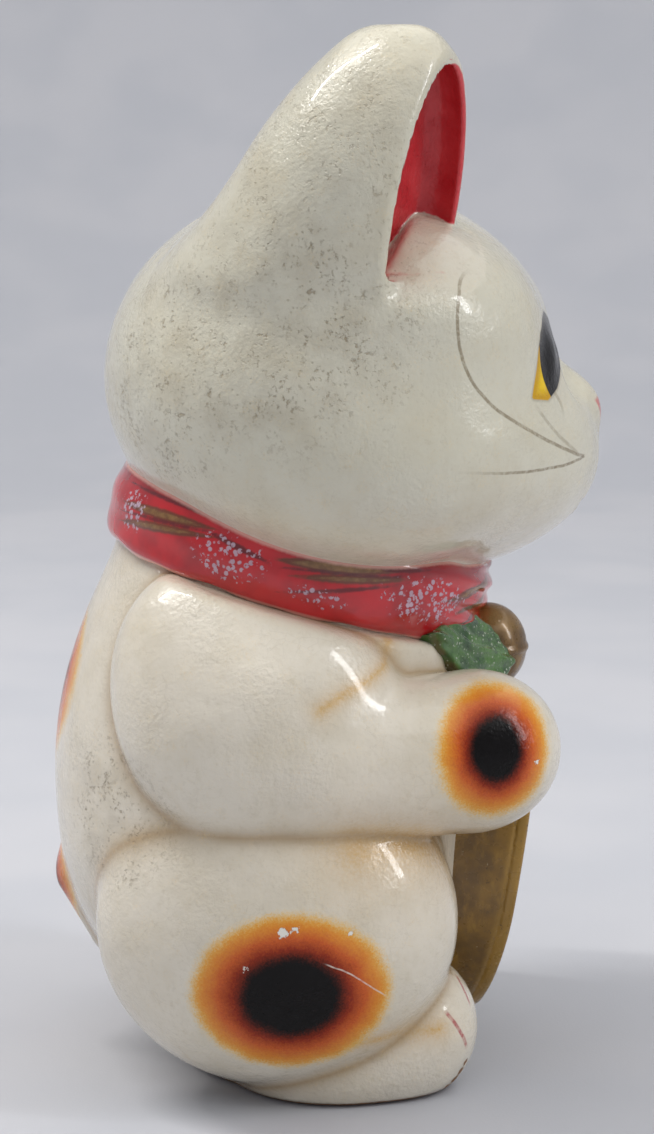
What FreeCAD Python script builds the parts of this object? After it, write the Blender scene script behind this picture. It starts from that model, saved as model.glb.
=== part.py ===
"""Glazed earthenware beckoning cat, 340 mm tall, built as a savings bank.

The cat sits facing -Y with +Z up, and +X is the cat's own left. The origin is the middle of
the flat foot that it stands on. Torso and head are press-moulded in a front and a back half
each, and the ears, arms, haunches, feet, tail, collar, bib, bell and coin are luted on.
Every luted piece is cut by what it sits against, so neighbours meet face to face.
All lengths are millimetres and all angles are degrees.
"""
import FreeCAD, Part

import math
import os

from FreeCAD import Matrix, Placement, Rotation, Vector

# ---------------------------------------------------------------- driving dimensions
HEIGHT = 340.0            # floor to the ear tips
WALL = 5.0                # thickness of the moulded clay
SEAM_Y = 12.0             # plane where the front and back halves of the torso meet
HEAD_SEAM_Y = 4.0         # the same for the head

NECK_CENTRE = Vector(0, 10, 172)      # middle of the collar
NECK_TILT = 16.0                      # the collar drops towards the chest
NECK_HALF_WIDTH = 57.0
NECK_HALF_DEPTH = 59.0
COLLAR_THICKNESS = 6.5                # how far the collar stands out of the neck
COLLAR_HEIGHT = 27.0

HEAD_CENTRE = Vector(0, -1, 228)
HEAD_SEMI = (86.0, 75.0, 63.0)
MUZZLE_CENTRE = Vector(0, -58, 203)
MUZZLE_SEMI = (41.0, 32.0, 33.0)
CHEEK_CENTRE = Vector(-39, -14, 207)  # right cheek; the left one mirrors it
CHEEK_SEMI = (46.0, 54.0, 38.0)
NECK_RISE = 40.0                      # how far the neck's dome runs up inside the head
EYE_CENTRE = Vector(-31, -62, 237)
EYE_SEMI = (14.0, 11.0, 17.0)

EAR_X = 51.0                          # middle of an ear, from the centre plane
EAR_WALL = 3.5
EAR_OPENING_TURN = 26.0               # how far the opening faces outwards from straight ahead
EAR_OPENING_DROP = -0.13              # the opening leans forward, so it faces slightly down
EAR_RIM = Vector(-EAR_X, -30.0, 290.0)
EAR_DEPTH = 13.0                      # depth of the concave opening

STOPPER_R = 14.95                     # rubber plug, and the hole that it runs in
DRAIN_R = 15.0
STOPPER_FLANGE_R = 19.0
STOPPER_TRAVEL = 30.0

SLOT_LENGTH = 38.0                    # coin slot in the back of the head
SLOT_WIDTH = 5.0
SLOT_Z = 236.0

COIN_SEMI = (29.0, 48.0)              # half width and half length of the oval coin
COIN_THICKNESS = 18.0
COIN_LEAN = 9.0                       # its top leans forward
COIN_CENTRE = Vector(0, -44, 64)      # middle of the coin's hind face
COIN_ROOT = 14.0                      # clay behind the coin that beds it on the belly
COIN_RIM = 5.0
COIN_RELIEF = 1.5
COIN_BARS = (-24.0, -16.0, -8.0)      # heights of the scored bars, from the coin's middle
COIN_BAR_LENGTH = 26.0

BELL_R = 13.0
BELL_CENTRE = Vector(0, -54, 140)

FAR = 400.0                           # longer than the whole cat

# Torso outline: height, middle of the section, half width and half depth.
TORSO_SECTIONS = [
    (0.0, 4.0, 58.0, 44.0),
    (22.0, 12.0, 68.0, 54.0),
    (55.0, 20.5, 75.0, 65.5),
    (90.0, 23.0, 78.0, 69.0),
    (125.0, 21.0, 74.0, 68.0),
    (150.0, 16.5, 67.0, 64.5),
    (172.0, 11.0, 58.5, 60.5),
    (196.0, 9.0, 53.0, 56.0),
]
# Ear outline in the same form, from the root inside the head up to the tip.
EAR_SECTIONS = [
    (262.0, 4.0, 33.0, 42.0),
    (284.0, -2.0, 31.5, 39.0),
    (302.0, -7.0, 28.0, 34.0),
    (318.0, -11.0, 22.5, 28.5),
    (330.0, -14.5, 15.5, 21.0),
    (337.0, -16.5, 8.0, 13.0),
    (HEIGHT, -17.0, 1.5, 4.0),
]


# ---------------------------------------------------------------- shape helpers
def ellipse_wire(x, y, z, half_x, half_y):
    """A closed ellipse in a horizontal plane."""
    centre = Vector(x, y, z)
    if half_x >= half_y:
        curve = Part.Ellipse(centre + Vector(half_x, 0, 0), centre + Vector(0, half_y, 0), centre)
    else:
        curve = Part.Ellipse(centre + Vector(0, half_y, 0), centre - Vector(half_x, 0, 0), centre)
    return Part.Wire([curve.toShape()])


def circle_section(x, y, z, half_x, half_y, points=16):
    """The same ellipse as one periodic spline that always starts on +X, so lofts don't twist."""
    ring = [
        Vector(x + half_x * math.cos(math.tau * i / points), y + half_y * math.sin(math.tau * i / points), z)
        for i in range(points)
    ]
    curve = Part.BSplineCurve()
    curve.interpolate(ring, PeriodicFlag=True)
    return Part.Wire([curve.toShape()])


def loft(sections, x=0.0, grow=0.0):
    """A solid through horizontal sections, each (height, middle y, half width, half depth)."""
    wires = [circle_section(x, y, z, a + grow, b + grow) for z, y, a, b in sections]
    return Part.makeLoft(wires, True, False)


def ellipsoid(centre, semi, turn=None):
    """An ellipsoid with semi-axes semi, turned by a Rotation about its own centre."""
    shape = Part.makeSphere(1.0)
    scale = Matrix()
    scale.scale(*semi)
    shape = shape.transformGeometry(scale)
    shape.Placement = Placement(centre, turn or Rotation())
    return shape


def limb(start, end, start_r, end_r):
    """A tapering round limb with rounded ends: its outline turned about its own axis."""
    length = (end - start).Length
    lean = math.asin((start_r - end_r) / length)

    def outline(centre, radius, angle):
        return Vector(radius * math.sin(angle), 0, centre + radius * math.cos(angle))

    side = math.pi / 2 - lean
    first = [outline(0, start_r, angle) for angle in (math.pi, (math.pi + side) / 2, side)]
    last = [outline(length, end_r, angle) for angle in (side, side / 2, 0)]
    edges = [
        Part.Arc(*first).toShape(),
        Part.makeLine(first[2], last[0]),
        Part.Arc(*last).toShape(),
        Part.makeLine(last[2], first[0]),
    ]
    solid = Part.Face(Part.Wire(edges)).revolve(Vector(0, 0, 0), Vector(0, 0, 1), 360)
    solid.Placement = Placement(start, Rotation(Vector(0, 0, 1), end - start))
    return solid


def half_space(point, normal):
    """A large block that fills everything on the normal's side of a plane."""
    block = Part.makeBox(2 * FAR, 2 * FAR, 2 * FAR, Vector(-FAR, -FAR, 0))
    block.Placement = Placement(point, Rotation(Vector(0, 0, 1), normal))
    return block


def mirrored(shape):
    """The same shape on the cat's other side."""
    return shape.mirror(Vector(0, 0, 0), Vector(1, 0, 0))


def cut_all(shape, *tools):
    for tool in tools:
        shape = shape.cut(tool)
    return shape


def one_solid(shape):
    """The largest solid of a result, without slivers that a cut may leave."""
    return max(shape.Solids, key=lambda solid: solid.Volume)


# ---------------------------------------------------------------- the plane under the head
NECK_AXIS = Rotation(Vector(1, 0, 0), NECK_TILT).multVec(Vector(0, 0, 1))


def torso_outer():
    return loft(TORSO_SECTIONS).cut(half_space(NECK_CENTRE, NECK_AXIS))


def torso_inner():
    """The hollow: open at the neck and at the foot."""
    sections = [(z, y, a - WALL, b - WALL) for z, y, a, b in TORSO_SECTIONS]
    sections[0] = (-1.0, *sections[0][1:])
    return loft(sections)


def neck_dome(inset=0.0):
    """The neck rises from the collar's plane into the head."""
    semi = (NECK_HALF_WIDTH - inset, NECK_HALF_DEPTH - inset, NECK_RISE - inset)
    return ellipsoid(NECK_CENTRE, semi, Rotation(Vector(1, 0, 0), NECK_TILT))


def head_form(inset=0.0):
    """Skull, muzzle, both cheeks and the neck in one closed form."""
    cheek = ellipsoid(CHEEK_CENTRE, [s - inset for s in CHEEK_SEMI])
    skull = ellipsoid(HEAD_CENTRE, [s - inset for s in HEAD_SEMI])
    muzzle = ellipsoid(MUZZLE_CENTRE, [s - inset for s in MUZZLE_SEMI])
    return skull.fuse(cheek).fuse(mirrored(cheek)).fuse(muzzle).fuse(neck_dome(inset))


def head_outer():
    eye = ellipsoid(EYE_CENTRE, EYE_SEMI)
    head = head_form().fuse(eye).fuse(mirrored(eye))
    return head.common(half_space(NECK_CENTRE, NECK_AXIS))


def split_y(shape, y):
    """The parts of a shape in front of and behind a plane across the body."""
    plane = Vector(0, y, 0)
    front = shape.common(half_space(plane, Vector(0, -1, 0)))
    back = shape.common(half_space(plane, Vector(0, 1, 0)))
    return one_solid(front), one_solid(back)


def coin_slot():
    """The upright slot that coins go in by, with rounded ends, long enough to pass the wall."""
    straight = SLOT_LENGTH - SLOT_WIDTH
    start = Vector(0, HEAD_CENTRE.y + HEAD_SEMI[1] - 4 * WALL, SLOT_Z - straight / 2)
    slot = Part.makeBox(SLOT_WIDTH, 8 * WALL, straight, start - Vector(SLOT_WIDTH / 2, 0, 0))
    ends = [
        Part.makeCylinder(SLOT_WIDTH / 2, 8 * WALL, start + Vector(0, 0, z), Vector(0, 1, 0))
        for z in (0, straight)
    ]
    return slot.fuse(ends)


# ---------------------------------------------------------------- luted pieces, right side
def ear(head):
    """A hollow ear whose opening is a concave panel with a rim left standing round it."""
    turn = math.radians(EAR_OPENING_TURN)
    facing = Vector(-math.sin(turn), -math.cos(turn), EAR_OPENING_DROP)
    inside = [(z - 1.5 * EAR_WALL, y, a - EAR_WALL, b - EAR_WALL) for z, y, a, b in EAR_SECTIONS[:-2]]
    core = loft(inside, x=-EAR_X)
    opening = core.common(half_space(EAR_RIM - facing * EAR_DEPTH, facing))
    hollow = core.common(half_space(EAR_RIM - facing * (EAR_DEPTH + EAR_WALL), facing * -1))
    outer = loft(EAR_SECTIONS, x=-EAR_X)
    return one_solid(cut_all(outer, half_space(EAR_RIM, facing), opening, hollow, head))


def haunch(inset=0.0):
    """The thigh: an egg lying along the side, its underside clear of the floor."""
    return ellipsoid(Vector(-52, 17, 64), (38.5 - inset, 58.0 - inset, 50.0 - inset))


def foot():
    """A hind paw: a tall blunt toe end and a heel that runs back under the haunch."""
    toes = ellipsoid(Vector(-43, -23, 20), (23.0, 25.0, 25.5))
    heel = ellipsoid(Vector(-45, -2, 12), (25.0, 34.0, 22.0))
    return toes.fuse(heel).common(half_space(Vector(0, 0, 0), Vector(0, 0, 1)))


def lowered_arm(inset=0.0):
    """Right arm: a heavy shoulder, then a forearm forward to the paw that rests on the coin."""
    shoulder = ellipsoid(Vector(-59, 22, 134), (29.0 - inset, 46.0 - inset, 42.0 - inset))
    forearm = limb(Vector(-64, 6, 116), Vector(-52, -44, 114), 23.0 - inset, 21.5 - inset)
    paw = Part.makeSphere(24.0 - inset, Vector(-48, -49, 113.5))
    return shoulder.fuse(forearm).fuse(paw)


def raised_arm(inset=0.0):
    """Left arm: up beside the cheek, with the paw bent over at ear height."""
    elbow = Vector(87, -12, 192)
    wrist = Vector(86, -14, 258)
    shoulder = ellipsoid(Vector(59, 14, 142), (27.0 - inset, 38.0 - inset, 36.0 - inset))
    upper = limb(Vector(70, 2, 144), elbow, 24.0 - inset, 20.0 - inset)
    fore = limb(elbow, wrist, 20.0 - inset, 17.0 - inset)
    paw = limb(Vector(85, -17, 272), Vector(82, -19, 288), 20.5 - inset, 19.0 - inset)
    return shoulder.fuse(upper).fuse(fore).fuse(paw)


def tail():
    """A short bob tail pressed against the back."""
    return limb(Vector(2, 84, 60), Vector(-6, 76, 42), 15.0, 11.0)


def collar_ring():
    """A bulging disc square to the neck's tilt; cutting the torso and head out leaves the band."""
    sections = []
    for step in (-1.0, -0.8, -0.4, 0.0, 0.4, 0.8, 1.0):
        bulge = COLLAR_THICKNESS * math.sqrt(1.0 - step * step)
        height = step * COLLAR_HEIGHT / 2
        sections.append((height, 0.0, NECK_HALF_WIDTH + bulge, NECK_HALF_DEPTH + bulge))
    disc = loft(sections)
    disc.Placement = Placement(NECK_CENTRE, Rotation(Vector(1, 0, 0), NECK_TILT))
    return disc


def bib():
    """One green leaf of the bib, from beside the bell outwards and up along the chest."""
    lean = Rotation(Vector(0, 0, 1), -34).multiply(Rotation(Vector(0, 1, 0), 14))
    blade = ellipsoid(Vector(-24, -45, 141), (25.0, 9.5, 10.5), lean)
    return blade.common(half_space(Vector(-1.0, 0, 0), Vector(-1, 0, 0)))


def bell():
    """A round bell with a raised band round its middle and a slot across its lower half."""
    ball = Part.makeSphere(BELL_R, BELL_CENTRE)
    band = Part.makeTorus(BELL_R, 1.3, BELL_CENTRE)
    mouth = Part.makeBox(2.2, BELL_R, 7.0, BELL_CENTRE + Vector(-1.1, -1.5 * BELL_R, -10.0))
    hole = Part.makeCylinder(2.2, BELL_R, BELL_CENTRE + Vector(0, -0.5 * BELL_R, -4.0), Vector(0, -1, 0))
    return cut_all(ball.fuse(band), mouth, hole)


def coin_outline(inset, depth, start):
    """An oval prism, start to start + depth along the coin's own axis."""
    half_x, half_z = COIN_SEMI
    oval = Part.Face(ellipse_wire(0, 0, start, half_x - inset, half_z - inset))
    return oval.extrude(Vector(0, 0, depth))


def coin():
    """A thick oval coin, face forward, with a raised rim and shallow bars scored on its face."""
    body = coin_outline(0.0, COIN_THICKNESS + COIN_ROOT, -COIN_ROOT)
    front = [edge for edge in body.Edges if edge.BoundBox.ZMin > COIN_THICKNESS - 0.1]
    body = body.makeChamfer(2.0, front)
    field = coin_outline(COIN_RIM, COIN_RELIEF, COIN_THICKNESS - COIN_RELIEF)
    body = body.cut(field)
    for y in COIN_BARS:
        corner = Vector(-COIN_BAR_LENGTH / 2, y, COIN_THICKNESS - COIN_RELIEF - 0.5)
        body = body.fuse(Part.makeBox(COIN_BAR_LENGTH, 2.0, COIN_RELIEF, corner))
    body.Placement = Placement(COIN_CENTRE, Rotation(Vector(1, 0, 0), 90 + COIN_LEAN))
    return body


def base_plate(inner):
    """The slab that closes the torso, with the drain hole in its middle."""
    slab = Part.makeBox(2 * FAR, 2 * FAR, 6.0, Vector(-FAR, -FAR, 4.0)).common(inner)
    return slab.cut(Part.makeCylinder(DRAIN_R, FAR, Vector(0, 0, -1)))


def stopper():
    """The rubber plug: a flange under the slab and a body that fills the hole."""
    flange = Part.makeCylinder(STOPPER_FLANGE_R, 2.4, Vector(0, 0, 1.6))
    plug = Part.makeCylinder(STOPPER_R, 9.0, Vector(0, 0, 4.0))
    lead = Part.makeCone(STOPPER_R, STOPPER_R - 2.0, 4.0, Vector(0, 0, 13.0))
    dimple = Part.makeCylinder(9.0, 6.0, Vector(0, 0, 1.0))
    tab = Part.makeBox(3.0, 17.6, 5.4, Vector(-1.5, -8.8, 1.6))
    return flange.fuse([plug, lead]).cut(dimple).fuse(tab)


# ---------------------------------------------------------------- assembly
def build():
    torso, hollow = torso_outer(), torso_inner()
    head = head_outer()
    ring = collar_ring()
    lowered, raised = lowered_arm(), raised_arm()
    right_haunch, left_haunch = haunch(), mirrored(haunch())
    right_foot, left_foot = foot(), mirrored(foot())
    right_bib, left_bib = bib(), mirrored(bib())

    parts = {}
    parts["torso_front"], parts["torso_back"] = split_y(torso.cut(hollow), SEAM_Y)
    parts["head_front"], head_back = split_y(head.cut(head_form(WALL)), HEAD_SEAM_Y)
    parts["head_back"] = head_back.cut(coin_slot())
    parts["ear_right"] = ear(head)
    parts["ear_left"] = mirrored(parts["ear_right"]).cut(raised)
    parts["collar"] = cut_all(ring, torso, head)
    parts["arm_right"] = cut_all(lowered, lowered_arm(WALL), torso, head, ring, right_haunch)
    parts["arm_left_raised"] = cut_all(raised, raised_arm(WALL), torso, head, ring, left_haunch)

    parts["haunch_right"] = cut_all(right_haunch, haunch(WALL), torso)
    parts["haunch_left"] = cut_all(left_haunch, mirrored(haunch(WALL)), torso)
    parts["foot_right"] = cut_all(right_foot, torso, right_haunch)
    parts["foot_left"] = cut_all(left_foot, torso, left_haunch)
    parts["tail"] = tail().cut(torso)

    parts["bib_right"] = cut_all(right_bib, torso, ring, lowered)
    parts["bib_left"] = cut_all(left_bib, torso, ring, raised)
    parts["bell"] = cut_all(bell(), torso, ring, right_bib, left_bib)
    parts["coin"] = cut_all(coin(), torso, lowered, right_haunch, left_haunch, right_foot, left_foot)
    parts["base_plate"] = base_plate(hollow)
    parts["stopper"] = stopper()
    return {name: one_solid(shape) for name, shape in parts.items()}


def main():
    os.makedirs("parts", exist_ok=True)
    for name, shape in build().items():
        box = shape.BoundBox
        print(
            f"{name:16s} valid {shape.isValid()} solids {len(shape.Solids)} faces {len(shape.Faces)} "
            f"volume {shape.Volume / 1000:8.1f} cm3  x {box.XMin:.0f}..{box.XMax:.0f} "
            f"y {box.YMin:.0f}..{box.YMax:.0f} z {box.ZMin:.0f}..{box.ZMax:.0f}"
        )
        shape.exportStep(f"parts/{name}.step")


main()
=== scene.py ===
import math

import bpy
import numpy as np
import openvdb
from mathutils import Matrix, Vector


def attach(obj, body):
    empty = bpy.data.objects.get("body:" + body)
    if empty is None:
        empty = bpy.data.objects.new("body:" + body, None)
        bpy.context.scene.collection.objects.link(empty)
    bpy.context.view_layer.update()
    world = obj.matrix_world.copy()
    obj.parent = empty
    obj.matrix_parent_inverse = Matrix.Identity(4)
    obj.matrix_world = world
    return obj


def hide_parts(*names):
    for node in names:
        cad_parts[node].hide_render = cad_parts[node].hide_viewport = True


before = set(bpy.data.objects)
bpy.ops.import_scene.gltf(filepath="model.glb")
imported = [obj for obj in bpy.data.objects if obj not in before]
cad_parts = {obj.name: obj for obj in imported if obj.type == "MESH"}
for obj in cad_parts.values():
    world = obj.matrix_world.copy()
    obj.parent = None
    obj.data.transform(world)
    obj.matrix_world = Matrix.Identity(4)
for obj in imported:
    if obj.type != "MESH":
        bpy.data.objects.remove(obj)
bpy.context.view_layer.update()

# The cat is modelled as smooth distance fields in millimetres, in the CAD frame: it faces -Y,
# +X is its left and Z is up. The fields are turned into meshes, which are cut into the same
# pieces as the CAD, and scaled to metres at the very end.
MM = 0.001
BODY_STEP = 1.25     # grid pitch for the body
TRIM_STEP = 0.8      # grid pitch for the collar, bib, bell and coin
SHELL = 2.0                                 # thickness that the pieces are given
HEIGHT = 340.0


# ------------------------------------------------------------------ distance fields
def turned(axis, degrees):
    return np.array(Matrix.Rotation(math.radians(degrees), 3, axis), dtype=np.float32)


def ellipsoid(p, centre, semi, turn=None):
    q = p - np.array(centre, np.float32)
    if turn is not None:
        q = q @ turn
    s = np.array(semi, np.float32)
    k0 = np.linalg.norm(q / s, axis=1)
    k1 = np.linalg.norm(q / (s * s), axis=1)
    return k0 * (k0 - 1.0) / np.maximum(k1, 1e-5)


def limb(p, start, end, r1, r2):
    """A round cone between two points."""
    a, b = np.array(start, np.float32), np.array(end, np.float32)
    ba = b - a
    t = np.clip(((p - a) @ ba) / (ba @ ba), 0.0, 1.0)
    return np.linalg.norm(p - a - t[:, None] * ba, axis=1) - (r1 + (r2 - r1) * t)


def smin(a, b, k):
    """Union with a fillet about k wide."""
    h = np.maximum(k - np.abs(a - b), 0.0) / k
    return np.minimum(a, b) - h * h * k * 0.25


def smax(a, b, k):
    return -smin(-a, -b, k)


def section(z, table, column):
    """A section size at height z, smoothly through the table's rows (height, y, half x, half y)."""
    heights = np.array([row[0] for row in table])
    values = np.array([row[column] for row in table])
    slopes = np.gradient(values, heights)
    i = np.clip(np.searchsorted(heights, z) - 1, 0, len(heights) - 2)
    gap = heights[i + 1] - heights[i]
    t = np.clip((z - heights[i]) / gap, 0.0, 1.0)
    blend = t * t * (3.0 - 2.0 * t)
    ends = values[i] * (1.0 - blend) + values[i + 1] * blend
    bend = slopes[i] * t * (1.0 - t) ** 2 - slopes[i + 1] * t * t * (1.0 - t)
    return (ends + gap * bend).astype(np.float32)


def sectioned(p, table, middle_x=0.0, grow=0.0):
    """A body of elliptical horizontal sections, measured along the radius."""
    z = p[:, 2]
    x = p[:, 0] - middle_x
    y = p[:, 1] - section(z, table, 1)
    half_x = np.maximum(section(z, table, 2) + grow, 0.8)
    half_y = np.maximum(section(z, table, 3) + grow, 0.8)
    k = np.sqrt((x / half_x) ** 2 + (y / half_y) ** 2)
    return np.hypot(x, y) * (1.0 - 1.0 / np.maximum(k, 1e-4))


def plane(p, point, normal):
    """Signed distance to a plane, positive on the normal's side."""
    n = np.array(normal, np.float32)
    return (p - np.array(point, np.float32)) @ (n / np.linalg.norm(n))


# ------------------------------------------------------------------ the cat's parts
NECK = (0.0, 10.0, 172.0)
NECK_TILT = 16.0
NECK_AXIS = (0.0, -math.sin(math.radians(NECK_TILT)), math.cos(math.radians(NECK_TILT)))
TORSO_SEAM = 12.0
HEAD_SEAM = 4.0
TORSO = [
    (0.0, 4.0, 56.0, 46.0),
    (22.0, 12.0, 62.0, 54.0),
    (55.0, 20.5, 72.0, 65.5),
    (90.0, 23.0, 78.0, 69.0),
    (125.0, 21.0, 74.0, 68.0),
    (150.0, 16.5, 67.0, 64.5),
    (172.0, 11.0, 58.5, 60.5),
    (196.0, 9.0, 53.0, 56.0),
]
EAR = [
    (222.0, 12.0, 14.0, 30.0),
    (252.0, 3.0, 28.0, 43.0),
    (270.0, -2.0, 32.5, 43.0),
    (286.0, -6.5, 33.0, 41.0),
    (302.0, -11.5, 30.5, 37.0),
    (318.0, -16.5, 25.0, 29.5),
    (330.0, -20.0, 18.0, 21.0),
    (338.0, -21.5, 9.5, 12.5),
    (343.0, -22.0, 2.0, 4.0),
]
EAR_X = 51.0
EAR_TURN = math.radians(26.0)
EAR_FACING = (-math.sin(EAR_TURN), -math.cos(EAR_TURN), -0.18)
EAR_RIM = (-EAR_X, -37.0, 290.0)
EAR_DEPTH = 13.0
EYE = (-31.0, -60.0, 232.5)
EYE_SEMI = (14.5, 12.0, 20.0)
SLOT_HEIGHT = 236.0                         # middle of the coin slot
SLOT_HALF_WIDTH = 2.5
SLOT_HALF_LENGTH = 19.0


def mirror_right(p):
    """Everything that both sides share is modelled once, on the cat's right side."""
    q = p.copy()
    q[:, 0] = -np.abs(q[:, 0])
    return q


def torso(p):
    d = sectioned(p, TORSO)
    return smax(smax(d, -p[:, 2], 3.0), p[:, 2] - 205.0, 8.0)


def skull(p):
    """Head without ears, for the right side."""
    cheek = ellipsoid(p, (-39, -14, 208), (46, 53, 36))
    forehead = ellipsoid(p, (-41, -28, 250), (34, 31, 25))
    between_eyes = ellipsoid(p, (0, -82, 241), (24, 12.5, 15))
    muzzle = ellipsoid(p, (0, -54, 203), (48, 34.5, 30))
    nose = limb(p, (0, -60, 223), (0, -80.5, 217.5), 7.0, 7.5)
    lips = limb(p, (-16, -79.5, 187.5), (0, -86.5, 188.5), 1.6, 1.2)
    beside_nose = ellipsoid(p, (-19, -83, 232), (11, 9.5, 10))
    chin = ellipsoid(p, (0, -40, 198), (44, 32, 31))
    neck = ellipsoid(p, NECK, (56, 58, 40), turned("X", NECK_TILT))
    d = ellipsoid(p, (0, -1, 228), (86, 75, 63))
    d = smin(d, cheek, 14.0)
    d = smin(d, forehead, 20.0)
    d = smax(d, -between_eyes, 7.0)
    d = smin(d, muzzle, 20.0)
    d = smin(d, nose, 8.0)
    d = smax(d, -lips, 2.0)
    d = smax(d, -beside_nose, 4.0)
    d = smin(d, chin, 10.0)
    return smin(d, neck, 8.0)


def ear_sections(p, grow=0.0):
    """The right ear's sections, turned so that their long axis lies across its opening."""
    c, s = math.cos(EAR_TURN), math.sin(EAR_TURN)
    x, y = p[:, 0] + EAR_X, p[:, 1]
    q = np.stack([x * c - y * s, x * s + y * c, p[:, 2]], 1)
    return sectioned(q, EAR, 0.0, grow)


def ear_scoop(p):
    """The concave opening of the right ear."""
    rim = np.array(EAR_RIM) - np.array(EAR_FACING) * EAR_DEPTH
    d = smax(ear_sections(p, -3.2), -plane(p, rim, EAR_FACING), 16.0)
    return smax(smax(d, p[:, 2] - 337.0, 5.0), 262.0 - p[:, 2], 4.0)


def ear(p):
    """The right ear as a solid, levelled at the cat's full height."""
    d = smax(ear_sections(p), 228.0 - p[:, 2], 20.0)
    return smax(d, p[:, 2] - HEIGHT + 0.3, 4.0)


def ease(value, low, high):
    """0 below low, 1 above high, smooth between."""
    t = np.clip((value - low) / (high - low), 0.0, 1.0)
    return (t * t * (3.0 - 2.0 * t)).astype(np.float32)


def ear_groove(p):
    """The narrow end of the opening, between its outer rim and the brow."""
    return limb(p, (-84, -8, 262), (-46, -14, 288), 5.0, 13.0)


def brow(p, bare):
    """The skull in front of the opening."""
    return smax(bare, -ear_groove(p), 3.0)


def head(p):
    """Skull and right ear: blended behind, then the opening is cut, then the brow is put back."""
    bare = skull(p)
    ahead = plane(p, EAR_RIM, EAR_FACING)
    d = smin(bare, ear(p), 26.0 - 25.0 * ease(ahead, -40.0, -3.0))
    joined = smin(bare, ear(p), 14.0)
    in_front = smax(-ahead, ear_sections(p, 4.0), 1.0)
    d = smax(d, -in_front, 1.6)
    d = smax(d, -ear_scoop(p), 1.6)
    d = smin(d, brow(p, bare), 1.2)
    low = ease(-p[:, 2], -268.0, -250.0)
    d = d + (joined - d) * low
    return smin(d, ellipsoid(p, EYE, EYE_SEMI), 1.6)


SHOULDER_TURN = turned("X", 12) @ turned("Y", 14)


def arm_right(p):
    """The lowered arm: shoulder, upper arm, forearm and a round paw."""
    d = ellipsoid(p, (-58, 21, 125), (30, 46, 42), SHOULDER_TURN)
    d = smin(d, ellipsoid(p, (-50, 38, 141), (23, 30, 33)), 12.0)
    d = smin(d, limb(p, (-61, 4, 112), (-50, -42, 112.5), 27.0, 25.5), 4.0)
    return smin(d, ellipsoid(p, (-48, -49.5, 113.5), (24, 24, 24)), 6.0)


def arm_left(p):
    """The raised arm: shoulder, upper arm, forearm and a paw that bends forwards."""
    d = ellipsoid(p, (59, 14, 142), (27, 38, 36))
    d = smin(d, limb(p, (70, 2, 144), (87, -12, 192), 24.0, 20.0), 10.0)
    d = smin(d, limb(p, (87, -12, 192), (86, -14, 258), 20.0, 17.0), 10.0)
    return smin(d, limb(p, (85, -17, 272), (82, -19, 288), 20.5, 19.0), 7.0)


def haunch(p):
    return ellipsoid(p, (-51, 17, 58), (39.5, 58, 54))


def foot(p):
    d = ellipsoid(p, (-43, -23, 20), (23, 25, 25.5))
    d = smin(d, ellipsoid(p, (-45, -2, 12), (25, 34, 22)), 8.0)
    return smax(d, -p[:, 2], 3.0)


def tail(p):
    return limb(p, (2, 79, 60), (-6, 71, 43), 14.0, 10.5)


def white_parts(p):
    """Each luted part's own field. The order is that of PIECES."""
    q = mirror_right(p)
    return [torso(p), head(q), arm_right(p), arm_left(p), haunch(q), foot(q), tail(p)]


def under_foot(p):
    """The shallow recess that the base slab sits in."""
    inside = sectioned(p, TORSO, grow=-5.0)
    return smax(inside, p[:, 2] - 7.0, 0.8)


def under_collar(p):
    """The groove that the collar lies in. The head bulges over the collar's upper edge."""
    out, up, _ = collar_frame(p)
    return smax(np.abs(up + 2.5) - (COLLAR_HALF - 2.5), np.abs(out - 9.0) - 8.0, 1.0)


def coin_slot(p):
    """An upright round-ended slot through the back of the head."""
    z = np.maximum(np.abs(p[:, 2] - SLOT_HEIGHT) - (SLOT_HALF_LENGTH - SLOT_HALF_WIDTH), 0.0)
    ring = np.hypot(p[:, 0], z) - SLOT_HALF_WIDTH
    return smax(ring, 60.0 - p[:, 1], 1.0)


def body(p):
    """All the white clay, with narrow fillets where the parts meet."""
    t, h, right, left, thigh, paw, bob = white_parts(p)
    d = smin(t, thigh, 5.0)
    d = smin(d, paw, 4.0)
    d = smin(d, right, 2.5)
    d = smin(d, left, 6.0)
    d = smin(d, bob, 5.0)
    d = smax(d, -under_collar(p), 3.0)
    d = smin(d, h, 4.0)
    d = smax(d, -under_foot(p), 0.8)
    return smax(d, -coin_slot(p), 1.2)


# ------------------------------------------------------------------ collar, bib, bell and coin
COLLAR_HALF = 13.0


def collar_frame(p):
    """Across the band (outwards), along its height, and the angle round it."""
    q = (p - np.array(NECK, np.float32)) @ turned("X", NECK_TILT)
    k = np.sqrt((q[:, 0] / 57.0) ** 2 + (q[:, 1] / 59.0) ** 2)
    out = np.hypot(q[:, 0], q[:, 1]) * (1.0 - 1.0 / np.maximum(k, 1e-4))
    return out, q[:, 2], np.arctan2(q[:, 0], -q[:, 1])


def collar(p):
    """A bulging cloth band with a wavy edge, gathered into folds at the front."""
    out, up, angle = collar_frame(p)
    gather = np.exp(-((np.abs(angle) - 0.15) / 0.55) ** 2)
    fold = np.sin(up * 0.95 + 2.5 * np.cos(angle * 3.0)) * 0.75 * gather
    fold += np.sin(up * 0.5 + angle * 2.0) * 0.25
    edge = 0.5 * np.sin(angle * 7.0) + 0.35 * np.sin(angle * 17.0 + 1.0)
    bulge = 5.6 - 2.2 * (up / COLLAR_HALF) ** 2 + fold
    across = np.abs(out) - bulge
    along = np.abs(up) - COLLAR_HALF - edge
    return smax(across, along, 3.0)


BELL = (0.0, -52.8, 137.5)
BELL_SEMI = (13.0, 13.0, 14.5)


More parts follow.
